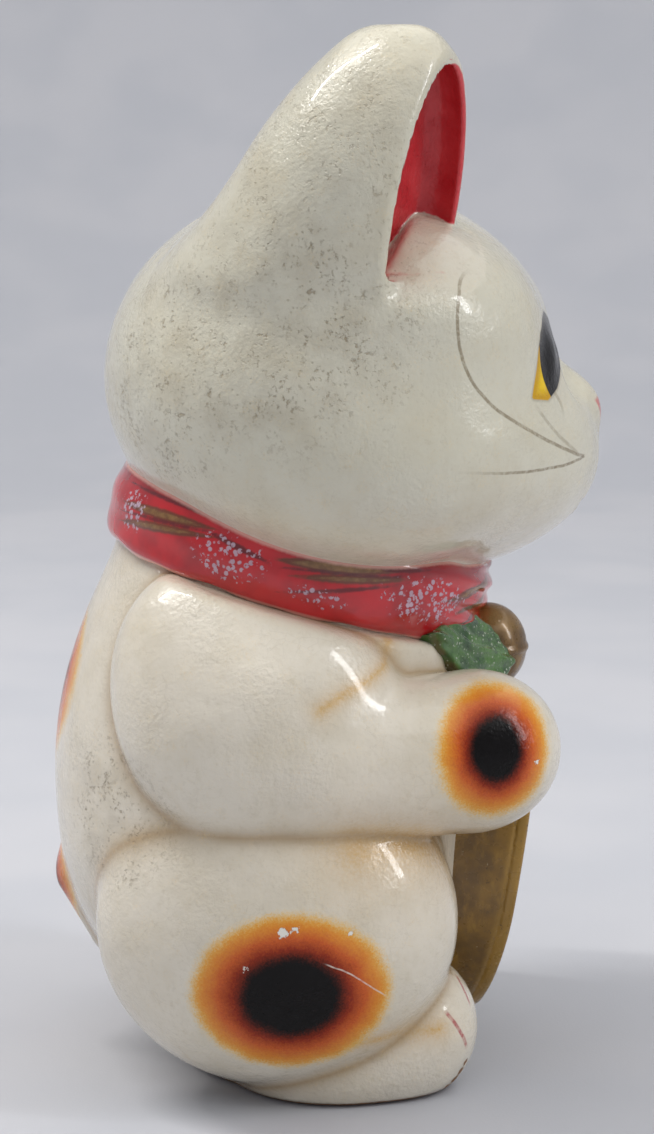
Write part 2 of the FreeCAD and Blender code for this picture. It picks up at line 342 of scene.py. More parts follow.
def bell(p):
    """A ball with a raised band round its middle, and a slot and a hole in front."""
    ball = ellipsoid(p, BELL, BELL_SEMI)
    q = p - np.array(BELL, np.float32)
    band = np.hypot(np.hypot(q[:, 0], q[:, 1]) - 12.3, q[:, 2]) - 1.3
    d = smin(ball, band, 0.8)
    slot = smax(np.abs(q[:, 0]) - 1.1, q[:, 2] + 3.0, 0.5)
    slot = smax(slot, q[:, 1] + 6.0, 0.5)
    hole = np.hypot(q[:, 0], q[:, 2] + 3.5) - 2.3
    hole = smax(hole, q[:, 1] + 6.0, 0.5)
    return smax(smax(d, -slot, 0.6), -hole, 0.6)


LEAF_ROOT = np.array((-10.0, -58.0, 133.0))
LEAF_TIP = np.array((-44.0, -30.0, 149.5))
LEAF_OUT = np.array((-0.52, -0.80, 0.30))


def leaf_frame(p):
    """Along the right leaf from root to tip (-1 to 1), across it, and out from the chest."""
    along = LEAF_TIP - LEAF_ROOT
    half = np.linalg.norm(along) / 2
    along = along / (2 * half)
    out = LEAF_OUT - along * (LEAF_OUT @ along)
    out = out / np.linalg.norm(out)
    across = np.cross(out, along)
    q = p - ((LEAF_ROOT + LEAF_TIP) / 2).astype(np.float32)
    return (q @ along) / half, q @ across, q @ out, half


def leaf_width(along):
    """Half the leaf's width, widest near its root."""
    return 12.5 * (1.0 - along**2) * (1.0 - 0.42 * along)


def leaf(p):
    """Both bib leaves: toothed edges, a middle rib and slanting veins."""
    along, across, out, _ = leaf_frame(mirror_right(p))
    along = np.clip(along, -1.3, 1.3)
    width = leaf_width(along) + 0.5 * np.sin(along * 19.0)
    rib = 1.1 * np.exp(-(across / 1.6) ** 2) + 0.25 * np.sin(across * 1.4 + np.abs(along) * 9.0)
    thick = 3.6 + rib
    d = smax(np.abs(across) - width, np.abs(out + 0.012 * across**2) - thick, 2.0)
    return smax(d, 1.0 - np.abs(p[:, 0]), 0.5)


COIN_CENTRE = (0.0, -52.6, 62.8)
COIN_LEAN = 9.0
COIN_HALF_WIDTH = 29.0
COIN_HALF_HEIGHT = 49.5


def coin_frame(p):
    return (p - np.array(COIN_CENTRE, np.float32)) @ turned("X", COIN_LEAN)


def coin_ahead(q):
    """How far in front of the coin's face a point is. The face curves back towards its foot."""
    return -q[:, 1] - 9.5 + 0.0026 * np.minimum(q[:, 2] + 6.0, 0.0) ** 2


def coin(p):
    """An oval with a raised rim and three plain bars, let into the belly behind."""
    q = coin_frame(p)
    k = np.sqrt((q[:, 0] / COIN_HALF_WIDTH) ** 2 + (q[:, 2] / COIN_HALF_HEIGHT) ** 2)
    r = np.hypot(q[:, 0], q[:, 2]) * (1.0 - 1.0 / np.maximum(k, 1e-4))
    ahead = coin_ahead(q)
    side_line = 0.55 * np.exp(-((ahead + 4.2) / 0.55) ** 2)
    d = smax(r + side_line, ahead, 2.2)
    d = smax(d, q[:, 1] - 26.0, 1.0)
    field = smax(r + 5.0, -ahead - 1.5, 0.8)
    d = smax(d, -field, 0.8)
    bars = np.abs(np.mod(q[:, 2] + 4.0, 8.0) - 4.0) - 0.9
    bars = smax(bars, np.abs(q[:, 0]) - 13.0, 0.8)
    bars = smax(bars, np.abs(q[:, 2] + 16.0) - 14.0, 0.8)
    bars = smax(bars, np.abs(ahead + 1.3) - 1.0, 0.5)
    return smin(d, bars, 0.6)


# ------------------------------------------------------------------ fields to meshes
def sample(field, low, high, step):
    """The field on a regular grid, a few layers at a time to spare memory."""
    axes = [np.arange(a, b + step, step, dtype=np.float32) for a, b in zip(low, high)]
    grid = np.empty([len(a) for a in axes], np.float32)
    for start in range(0, len(axes[0]), 12):
        part = np.stack(np.meshgrid(axes[0][start:start + 12], axes[1], axes[2], indexing="ij"), -1)
        grid[start:start + 12] = field(part.reshape(-1, 3)).reshape(part.shape[:3])
    return grid


def gradient(field, points, reach=0.25):
    """The field's slope in x, y and z."""
    parts = []
    for axis in range(3):
        shift = np.zeros(3, np.float32)
        shift[axis] = reach
        parts.append(field(points + shift) - field(points - shift))
    return np.stack(parts, 1) / (2 * reach)


def surface(field, low, high, step):
    """Triangles on the field's zero level, with its exact normals."""
    grid = openvdb.FloatGrid()
    grid.copyFromArray(sample(field, low, high, step))
    points, triangles, quads = grid.convertToPolygons(isovalue=0.0, adaptivity=0.0)
    points = (points * step + np.array(low)).astype(np.float32)
    faces = np.concatenate([triangles, quads[:, [0, 1, 2]], quads[:, [0, 2, 3]]]).astype(np.int64)
    for _ in range(3):
        slope = gradient(field, points)
        size = np.maximum((slope * slope).sum(1), 0.05)
        move = (field(points) / size)[:, None] * slope
        points = points - np.clip(move, -0.6 * step, 0.6 * step)
    slope = gradient(field, points)
    normals = slope / np.maximum(np.linalg.norm(slope, axis=1, keepdims=True), 1e-6)
    corner = points[faces]
    facing = np.cross(corner[:, 1] - corner[:, 0], corner[:, 2] - corner[:, 0])
    if (facing * normals[faces[:, 0]]).sum() < 0:
        faces = faces[:, ::-1]
    return points, faces, normals


def shell(points, faces, normals, layers):
    """Closes one patch of surface into a piece with a thickness. Its inner skin is plain."""
    used, faces = np.unique(faces, return_inverse=True)
    faces = faces.reshape(-1, 3)
    count = len(used)
    edges = np.concatenate([faces[:, [0, 1]], faces[:, [1, 2]], faces[:, [2, 0]]])
    code = edges[:, 0] * count + edges[:, 1]
    back = edges[:, 1] * count + edges[:, 0]
    rim = edges[~np.isin(code, back)]
    outer, bend = points[used], normals[used]
    inner = outer - bend * SHELL
    walls = np.concatenate([
        np.stack([rim[:, 1], rim[:, 0], rim[:, 0] + count], 1),
        np.stack([rim[:, 1], rim[:, 0] + count, rim[:, 1] + count], 1),
    ])
    all_faces = np.concatenate([faces, faces[:, ::-1] + count, walls])
    all_layers = {name: np.concatenate([v[used], v[used]]) for name, v in layers.items()}
    return np.concatenate([outer, inner]), all_faces, np.concatenate([bend, -bend]), all_layers


def make_piece(name, points, faces, normals, layers, node, material):
    """A mesh object in metres that stands for one CAD node."""
    mesh = bpy.data.meshes.new(name)
    mesh.vertices.add(len(points))
    mesh.vertices.foreach_set("co", (points * MM).astype(np.float32).ravel())
    mesh.loops.add(3 * len(faces))
    mesh.loops.foreach_set("vertex_index", faces.astype(np.int32).ravel())
    mesh.polygons.add(len(faces))
    mesh.polygons.foreach_set("loop_start", np.arange(0, 3 * len(faces), 3, dtype=np.int32))
    mesh.update(calc_edges=True)
    mesh.validate()
    mesh.shade_smooth()
    mesh.normals_split_custom_set_from_vertices(normals.astype(np.float32))
    for key, values in layers.items():
        layer = mesh.attributes.new(key, "FLOAT", "POINT")
        layer.data.foreach_set("value", values.astype(np.float32))
    mesh.materials.append(material)
    piece = bpy.data.objects.new(name, mesh)
    bpy.context.collection.objects.link(piece)
    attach(piece, "cat")
    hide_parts(node)
    return piece


# ------------------------------------------------------------------ cutting the body into pieces
PIECES = [
    "torso_front", "torso_back", "head_front", "head_back", "ear_right", "ear_left",
    "arm_right", "arm_left_raised", "haunch_right", "haunch_left", "foot_right", "foot_left", "tail",
]


def piece_of(p):
    """Which piece each point of the body's surface belongs to, as an index into PIECES."""
    t, h, right, left, thigh, paw, bob = white_parts(p)
    above = plane(p, NECK, NECK_AXIS) > 0
    q = mirror_right(p)
    is_ear = (ear(q) < skull(q) - 1.0) & above
    on_right = p[:, 0] < 0
    torso_piece = np.where(p[:, 1] < TORSO_SEAM, 0, 1)
    head_piece = np.where(p[:, 1] < HEAD_SEAM, 2, 3)
    head_piece = np.where(is_ear, np.where(on_right, 4, 5), head_piece)
    t, h = np.where(above, 99.0, t), np.where(above, h, 99.0)
    best = np.stack([t, h, right, left, thigh, paw, bob], 1).argmin(1)
    choices = [
        torso_piece, head_piece, np.full(len(p), 6), np.full(len(p), 7),
        np.where(on_right, 8, 9), np.where(on_right, 10, 11), np.full(len(p), 12),
    ]
    return np.choose(best, choices)


def crease(p):
    """1 in the creases where two luted parts meet, falling off over some millimetres; the glaze is
    darkened there as painted shade.
    """
    t, h, right, left, thigh, paw, bob = white_parts(p)
    above = plane(p, NECK, NECK_AXIS) > 0
    fields = np.sort(np.stack([np.minimum(t, h), right, left, thigh, paw, bob], 1), axis=1)
    near = np.exp(-((fields[:, 1] - fields[:, 0]) / 2.6) ** 1.3)
    return np.where(above, 0.0, near)


def build_body(material):
    points, faces, normals = surface(body, (-102, -98, -3), (114, 98, 344), BODY_STEP)
    owner = piece_of(points[faces].mean(1))
    layers = {"crease": crease(points)}
    layers.update(body_paint(points))
    made = {}
    for index, name in enumerate(PIECES):
        patch = faces[owner == index]
        parts = shell(points, patch, normals, layers)
        made[name] = make_piece("glazed_" + name, *parts, name, material)
    return made


def build_trim(name, node, field, low, high, layers_of, material):
    points, faces, normals = surface(field, low, high, TRIM_STEP)
    return make_piece(name, points, faces, normals, layers_of(points), node, material)


# ------------------------------------------------------------------ painted lines and patches
# Points on the right side's surface, in millimetres. The left side is painted as its mirror image.
WHISKER_UP = [
    (-66.0, -45.0, 268.5), (-70.2, -41.5, 266.5), (-73.6, -39.2, 262.0), (-77.0, -37.8, 253.1),
    (-76.3, -38.5, 243.1), (-74.7, -41.3, 234.8),
    (-72.4, -46.0, 228.5), (-69.4, -51.7, 223.3), (-59.4, -62.6, 216.0), (-47.7, -72.0, 210.2),
    (-37.1, -78.3, 206.4), (-32.1, -80.7, 205.4),
]
WHISKER_LOW = [
    (-32.1, -80.7, 205.4), (-43.8, -74.6, 204.0), (-53.9, -67.5, 203.8), (-62.2, -60.7, 203.9),
    (-74.8, -47.6, 205.3), (-81.4, -36.1, 206.4),
]
EYE_FOLD = [(-42.0, -69.5, 228.0), (-39.8, -73.0, 222.5), (-42.0, -72.6, 217.5)]
CHEEK_FOLD = [(-55.4, -62.8, 224.9), (-51.9, -67.2, 219.2), (-46.8, -72.0, 213.3), (-37.1, -78.3, 206.7)]
LIP_LINE = [(-20.0, -82.0, 189.5), (-10.0, -85.5, 187.5), (0.0, -88.0, 190.5)]
CLAW_HIGH = [(-46.3, -41.1, 38.0), (-48.8, -43.8, 33.5), (-49.9, -45.2, 28.6)]
CLAW_LOW = [(-60.0, -37.2, 29.8), (-58.6, -41.2, 24.0), (-55.1, -44.3, 16.2)]
CRACK = [(-89.0, 1.6, 54.8), (-86.0, -6.0, 50.5), (-83.5, -11.0, 46.5), (-80.1, -18.0, 41.3)]
HEAD_MIDDLE = (0.0, -5.0, 225.0)
FOOT_MIDDLE = (-35.0, 0.0, 20.0)
# Lines: name, points, what they go round, and the millimetres that each end fades over.
PAINTED = [
    ("line_a", WHISKER_UP, HEAD_MIDDLE, 14.0, 1.0), ("line_b", WHISKER_LOW, HEAD_MIDDLE, 1.0, 34.0),
    ("line_c", CHEEK_FOLD, HEAD_MIDDLE, 8.0, 1.0), ("line_d", EYE_FOLD, HEAD_MIDDLE, 2.0, 6.0),
    ("lip", LIP_LINE, HEAD_MIDDLE, 3.0, 0.0), ("claw_a", CLAW_HIGH, FOOT_MIDDLE, 1.0, 1.5),
    ("claw_b", CLAW_LOW, FOOT_MIDDLE, 1.0, 2.5),
]

# Airbrushed spots: middle, reach in x, y and z, and a power above 1 where the dark core is small.
SPOTS = [
    ((-88, 12.0, 44.0), (60, 34, 29), 1.0),
    ((-74, -51.5, 119.0), (34, 22.0, 27.0), 1.35),
    ((16, 92, 127), (48, 40, 34), 1.0),
    ((13, 100, 55), (34, 26, 28), 1.0),
]

# Amber dirt: how many millimetres it spreads, and the line that it lies along.
AMBER_LINES = [
    (2.2, [(-55.1, -18.2, 150.1), (-63.3, -17.1, 143.8), (-72.2, -12.3, 140.8), (-79.2, -4.5, 137.6),
           (-83.9, 3.1, 133.3)]),
    (9.0, [(-77.0, -8.0, 88.0), (-73.0, -16.0, 88.0), (-68.5, -25.0, 87.5), (-62.0, -33.0, 86.0),
           (-57.0, -38.0, 83.0)]),
    (3.2, [(-79.7, -3.1, 25.9), (-70.0, -22.0, 25.5), (-62.7, -35.0, 25.0)]),
]
# Eye outline, pupil and nose seen from the front: x and z.
EYE_OUTLINE = [
    (-55.6, 225.9), (-50.4, 234.4), (-47.6, 241.0), (-44.6, 245.4), (-38.0, 249.6), (-30.0, 251.4),
    (-24.0, 249.8), (-20.0, 246.0), (-19.0, 242.0), (-22.0, 238.0), (-29.0, 233.0), (-38.0, 227.6),
    (-47.0, 224.6),
]
PUPIL = (-31.0, 238.0)
PUPIL_SEMI = (15.8, 24.0)
NOSE = [(-6.5, 220.5), (0.0, 221.5), (6.5, 220.5), (2.5, 213.0), (0.0, 211.5), (-2.5, 213.0)]
# Places where the glaze is chipped white or worn down to brown clay: middle and radius.
WHITE_CHIPS = [
    ((-90.2, 14.5, 65.0), 1.7), ((-89.9, 10.5, 66.2), 1.1), ((-89.9, 26.2, 53.5), 1.0),
    ((-87.1, -6.1, 63.8), 0.9), ((-67.5, -64.5, 113.7), 1.0), ((-88.5, 18.0, 62.0), 0.7),
]
BROWN_CHIPS = [
    ((-52.5, -43.5, 10.5), 1.3), ((-52.5, -42.0, 7.5), 1.6), ((-52.5, -40.0, 5.0), 1.8),
    ((-52.5, -37.0, 3.0), 2.0), ((-70.0, -30.0, 2.0), 2.0),
    ((-40.0, -60.0, 2.0), 3.0), ((-74.0, 20.0, 2.0), 2.5), ((50.0, 60.0, 3.0), 3.0),
]


def smooth_curve(points, steps=7):
    """A finer curve that passes smoothly through the same points."""
    points = np.array([points[0]] + list(points) + [points[-1]], np.float32)
    fine = []
    for a, b, c, d in zip(points, points[1:], points[2:], points[3:]):
        for t in np.arange(steps) / steps:
            line = 2 * b + (c - a) * t + (2 * a - 5 * b + 4 * c - d) * t**2
            fine.append(0.5 * (line + (3 * b - a - 3 * c + d) * t**3))
    return np.array(fine + [points[-1]], np.float32)


def painted_line(points, curve, middle, fade_in, fade_out):
    """Distance to one side of a painted line, and its strength, which falls to 0 past its ends."""
    curve = smooth_curve(curve)
    steps = curve[1:] - curve[:-1]
    lengths = np.linalg.norm(steps, axis=1)
    total = lengths.sum()
    near = np.all((points > curve.min(0) - 6.0) & (points < curve.max(0) + 6.0), axis=1)
    p = points[near]
    best = np.full(len(p), 1e6, np.float32)
    side, along = np.full(len(p), 9.0, np.float32), np.zeros(len(p), np.float32)
    for index, (start, step, length) in enumerate(zip(curve, steps, lengths)):
        low = -9.0 if index == 0 else 0.0
        high = 9.0 if index == len(steps) - 1 else 1.0
        t = np.clip((p - start) @ step / (length * length), low, high)
        off = p - start - t[:, None] * step
        distance = np.linalg.norm(off, axis=1)
        across = np.cross(step / length, start + step / 2 - np.array(middle, np.float32))
        across = across / np.linalg.norm(across)
        closer = distance < best
        side[closer] = (off @ across)[closer]
        along[closer] = (lengths[:index].sum() + t * length)[closer]
        best = np.minimum(best, distance)
    strength = ease(along, -0.5, fade_in) * ease(-along, -total - 0.5, -total + fade_out)
    all_side = np.full(len(points), 9.0, np.float32)
    all_strength = np.zeros(len(points), np.float32)
    all_side[near], all_strength[near] = side, strength * ease(-best, -4.0, -2.0)
    return all_side, all_strength


def reach_of(p, curve):
    """Plain distance to a curve."""
    curve = np.array(curve, np.float32)
    best = np.full(len(p), 1e6, np.float32)
    for start, end in zip(curve[:-1], curve[1:]):
        best = np.minimum(best, limb(p, start, end, 0.01, 0.0))
    return best


def inside_outline(u, v, outline):
    """Signed distance to a closed outline in a plane, negative inside."""
    best = np.full(len(u), 1e6, np.float32)
    inside = np.zeros(len(u), bool)
    for (u0, v0), (u1, v1) in zip(outline, outline[1:] + outline[:1]):
        du, dv = u1 - u0, v1 - v0
        t = np.clip(((u - u0) * du + (v - v0) * dv) / (du * du + dv * dv), 0.0, 1.0)
        best = np.minimum(best, np.hypot(u - u0 - t * du, v - v0 - t * dv))
        crosses = ((v0 > v) != (v1 > v)) & (u < u0 + (v - v0) * du / (dv if dv else 1e-9))
        inside ^= crosses
    return np.where(inside, -best, best)


def spot_field(p):
    """1 in the middle of an airbrushed spot, 0 at its outer edge."""
    best = np.zeros(len(p), np.float32)
    for middle, reach, power in SPOTS:
        r = np.linalg.norm((p - np.array(middle, np.float32)) / np.array(reach, np.float32), axis=1)
        best = np.maximum(best, np.clip(1.0 - r, 0.0, 1.0) ** power)
    return best


def nearest_chip(p, chips):
    """Distance to the edge of the nearest chip."""
    gaps = [np.linalg.norm(p - np.array(middle, np.float32), axis=1) - r for middle, r in chips]
    return np.min(gaps, axis=0)


def body_paint(p):
    """What the brush and the airbrush put on the body, as smooth fields over its surface."""
    q = mirror_right(p)
    face = ease(-p[:, 1], 48.0, 54.0) * ease(p[:, 2], 180.0, 186.0)
    rim = 0.9 + 1.5 * ease(-q[:, 1], 35.0, 41.0)
    red = np.maximum(ear_scoop(q) - rim, 0.4 - brow(q, skull(q)))
    red = red + 4.0 * ease(-q[:, 2], -266.0, -261.0)
    layers = {"ear_red": red, "spot": spot_field(p)}
    for name, *line in PAINTED:
        layers[name], layers[name + "_on"] = painted_line(q, *line)
    layers["crack"], layers["crack_on"] = painted_line(p, CRACK, FOOT_MIDDLE, 2.0, 4.0)
    stains = [np.exp(-np.maximum(reach_of(q, line), 0.0) / wide) for wide, line in AMBER_LINES]
    layers["amber"] = np.max(stains, axis=0)
    layers["eye"] = inside_outline(q[:, 0], q[:, 2], EYE_OUTLINE) + 60.0 * (1.0 - face)
    away = [(q[:, 0] - PUPIL[0]) / PUPIL_SEMI[0], (q[:, 2] - PUPIL[1]) / PUPIL_SEMI[1]]
    layers["pupil"] = (np.hypot(*away) - 1.0) * 14.0
    layers["nose"] = inside_outline(p[:, 0], p[:, 2], NOSE) + 60.0 * ease(p[:, 1], -80.0, -76.0)
    layers["chip"] = nearest_chip(p, WHITE_CHIPS)
    layers["bare"] = nearest_chip(p, BROWN_CHIPS)
    return layers


# ------------------------------------------------------------------ glazes
def linear(r, g, b):
    """A display colour from 0 to 255 as the shader's own."""
    return tuple(((c / 255 + 0.055) / 1.055) ** 2.4 if c > 10 else c / 255 / 12.92 for c in (r, g, b))


class Glaze:
    """One material, with short ways of adding the nodes that it needs."""

    def __init__(self, name):
        self.material = bpy.data.materials.new(name)
        self.material.use_nodes = True
        self.tree = self.material.node_tree
        self.shader = self.tree.nodes["Principled BSDF"]
        self.place = self.scaled(self.node("ShaderNodeTexCoord").outputs["Object"], 1000.0)

    def node(self, kind, **settings):
        made = self.tree.nodes.new(kind)
        for key, value in settings.items():
            setattr(made, key, value)
        return made

    def put(self, socket, value):
        if isinstance(value, bpy.types.NodeSocket):
            self.tree.links.new(value, socket)
        elif isinstance(value, tuple) and socket.type == "RGBA":
            socket.default_value = (*value, 1.0)
        else:
            socket.default_value = value

    def scaled(self, vector, size):
        made = self.node("ShaderNodeVectorMath", operation="MULTIPLY")
        self.put(made.inputs[0], vector)
        made.inputs[1].default_value = size if isinstance(size, tuple) else (size, size, size)
        return made.outputs[0]

    def math(self, operation, *values):
        made = self.node("ShaderNodeMath", operation=operation)
        for socket, value in zip(made.inputs, values):
            self.put(socket, value)
        return made.outputs[0]

    def times(self, first, second):
        return self.math("MULTIPLY", first, second)

    def plus(self, first, second):
        return self.math("ADD", first, second)

    def most(self, first, second):
        return self.math("MAXIMUM", first, second)

    def centred(self, noise):
        """The same noise, either side of 0."""
        return self.math("SUBTRACT", noise, 0.5)

    def ramp(self, value, low, high, start=0.0, end=1.0):
        """Start where the value is low, end where it is high, smooth between."""
        made = self.node("ShaderNodeMapRange", interpolation_type="SMOOTHSTEP")
        for socket, number in zip(made.inputs, (value, low, high, start, end)):
            self.put(socket, number)
        return made.outputs[0]

    def noise(self, pitch, detail=3.0, roughness=0.55, stretch=(1.0, 1.0, 1.0)):
        """Noise from 0 to 1 whose lumps are pitch millimetres apart."""
        made = self.node("ShaderNodeTexNoise")
        self.put(made.inputs["Vector"], self.scaled(self.place, stretch))
        made.inputs["Scale"].default_value = 1.0 / pitch
        made.inputs["Detail"].default_value = detail
        made.inputs["Roughness"].default_value = roughness
        return made.outputs["Fac"]

    def cells(self, pitch, feature):
        """Distance across or to the edge of random cells that are pitch millimetres apart."""
        made = self.node("ShaderNodeTexVoronoi", feature=feature)
        self.put(made.inputs["Vector"], self.place)
        made.inputs["Scale"].default_value = 1.0 / pitch
        return made.outputs["Distance"]

    def layer(self, name):
        made = self.node("ShaderNodeAttribute", attribute_type="GEOMETRY", attribute_name=name)
        return made.outputs["Fac"]

    def mix(self, share, first, second):
        made = self.node("ShaderNodeMix", data_type="RGBA")
        self.put(made.inputs[0], share)
        self.put(made.inputs[6], first)
        self.put(made.inputs[7], second)
        return made.outputs[2]

    def colours(self, value, stops):
        made = self.node("ShaderNodeValToRGB")
        self.put(made.inputs[0], value)
        ramp = made.color_ramp
        while len(ramp.elements) < len(stops):
            ramp.elements.new(0.5)
        for element, (position, colour) in zip(ramp.elements, stops):
            element.position = position
            element.color = (*colour, 1.0)
        return made.outputs[0]

    def near(self, middle, reach):
        """1 within reach of a point, falling smoothly to 0 at twice that."""
        made = self.node("ShaderNodeVectorMath", operation="DISTANCE")
        self.put(made.inputs[0], self.place)
        made.inputs[1].default_value = middle
        return self.ramp(made.outputs["Value"], reach, 2.0 * reach, 1.0, 0.0)

    def height(self):
        made = self.node("ShaderNodeSeparateXYZ")
        self.put(made.inputs[0], self.place)
        return made.outputs["Z"]

    def bump(self, *layers):
        """Each layer is (height from 0 to 1, millimetres deep)."""
        normal = None
        for value, depth in layers:
            made = self.node("ShaderNodeBump")
            made.inputs["Strength"].default_value = 1.0
            made.inputs["Distance"].default_value = depth * MM
            self.put(made.inputs["Height"], value)
            if normal is not None:
                self.put(made.inputs["Normal"], normal)
            normal = made.outputs[0]
        self.put(self.shader.inputs["Normal"], normal)
        return normal

    def finish(self, colour, roughness, coat=0.0, metallic=0.0, specular=0.5):
        self.put(self.shader.inputs["Base Color"], colour)
        self.put(self.shader.inputs["Roughness"], roughness)
        self.put(self.shader.inputs["Coat Weight"], coat)
        self.shader.inputs["Coat Roughness"].default_value = 0.06
        self.put(self.shader.inputs["Metallic"], metallic)
        self.put(self.shader.inputs["Specular IOR Level"], specular)
        return self.material


WHITE = linear(224, 216, 199)
WHITE_COOL = linear(209, 205, 186)
WHITE_STAINED = linear(190, 177, 146)
DIRT = linear(134, 118, 88)
AMBER = linear(205, 156, 62)
LINE = linear(116, 98, 62)
BLACK = linear(16, 14, 14)
EAR_RED_PAINT = linear(204, 62, 66)
CLAY = linear(134, 100, 72)


def white_ground(g):
    """Warm white glaze: mottled, speckled, crazed and grimy."""
    head = g.ramp(g.height(), 160.0, 215.0)
    colour = g.mix(head, WHITE, WHITE_COOL)
    mottle = g.ramp(g.noise(26.0, 4.0, 0.6), 0.38, 0.72)
    colour = g.mix(g.times(mottle, 0.30), colour, WHITE_STAINED)
    fine = g.ramp(g.noise(3.2, 4.0, 0.65), 0.50, 0.78)
    colour = g.mix(g.times(fine, 0.22), colour, WHITE_STAINED)
    craze = g.ramp(g.cells(4.4, "DISTANCE_TO_EDGE"), 0.0, 0.035, 1.0, 0.0)
    patchy = g.ramp(g.noise(18.0, 2.0), 0.45, 0.65)
    craze = g.times(g.times(craze, patchy), 0.09)
    return g.mix(craze, colour, DIRT)


def pores(g):
    """Small dark pores, thick on the side of the head and in a few grimy places."""
    where = g.most(g.near((-70.0, 12.0, 252.0), 26.0), g.near((-60.0, 55.0, 235.0), 24.0))
    where = g.most(where, g.near((-60.0, 70.0, 95.0), 16.0))
    where = g.most(where, g.times(g.near((-60.0, 10.0, 300.0), 30.0), 0.7))
    where = g.most(where, g.times(g.near((55.0, 35.0, 250.0), 30.0), 0.8))
    where = g.plus(where, 0.16)
    grain = g.ramp(g.noise(1.7, 3.0, 0.7), 0.53, 0.66)
    clumps = g.ramp(g.noise(9.0, 3.0, 0.6), 0.42, 0.62)
    dots = g.ramp(g.cells(2.6, "F1"), 0.06, 0.20, 1.0, 0.0)
    marks = g.most(g.times(grain, clumps), g.times(dots, 0.6))
    return g.times(marks, where), where


def spot_paint(g, colour):
    """Calico spots, sprayed: cream, amber, orange, red-brown and black towards the middle."""
    spray = g.centred(g.noise(0.7, 2.0, 0.8))
    drift = g.centred(g.noise(7.0, 3.0, 0.6))
    value = g.plus(g.layer("spot"), g.times(spray, 0.15))
    value = g.plus(value, g.times(drift, 0.10))
    paint = g.colours(value, [
        (0.00, linear(236, 208, 140)), (0.09, linear(230, 178, 66)), (0.20, linear(220, 134, 28)),
        (0.33, linear(198, 88, 26)), (0.45, linear(140, 46, 20)), (0.545, linear(58, 24, 18)),
        (0.60, BLACK),
    ])
    share = g.ramp(value, 0.0, 0.16)
    return g.mix(share, colour, paint), g.ramp(value, 0.05, 0.55)


def thin_line(g, side, strength, half_width, opacity):
    wobble = g.times(g.centred(g.noise(6.0, 1.0)), 0.5)
    distance = g.math("ABSOLUTE", g.plus(g.layer(side), wobble))
    broken = g.ramp(g.noise(2.2, 3.0, 0.7), 0.30, 0.60, 0.45, 1.0)
    line = g.ramp(distance, 0.55 * half_width, 1.25 * half_width, 1.0, 0.0)
    line = g.times(g.times(line, broken), g.layer(strength))
    return g.times(line, opacity)


def eye_paint(g, colour):
    """Yellow iris, large black pupil that turns grey towards its top as a painted sheen, and a thin dark
    lid.
    """
    eye = g.layer("eye")
    inside = g.ramp(eye, -0.25, 0.25, 1.0, 0.0)
    shade = g.ramp(eye, -5.0, -0.5)
    yellow = g.mix(shade, linear(232, 196, 20), linear(196, 150, 16))
    # Painted sheen: the pupil's black turns grey towards its top.
    black = g.mix(g.ramp(g.height(), 243.0, 251.0), BLACK, linear(62, 62, 62))
    pupil = g.ramp(g.layer("pupil"), -0.3, 0.3, 1.0, 0.0)
    painted = g.mix(pupil, yellow, black)
    above = g.ramp(g.height(), 240.5, 242.5)
    lid = g.times(g.ramp(eye, -2.4, -1.4), above)
    painted = g.mix(lid, painted, linear(70, 66, 60))
    halo = g.ramp(g.math("ABSOLUTE", eye), 0.1, 1.2, 0.35, 0.0)
    colour = g.mix(halo, colour, LINE)
    return g.mix(inside, colour, painted), inside


# Brown lines on the face: name, opacity and half width.
LINES = (("line_a", 0.72, 0.62), ("line_b", 0.80, 0.52), ("line_c", 0.38, 0.75), ("line_d", 0.34, 1.0))


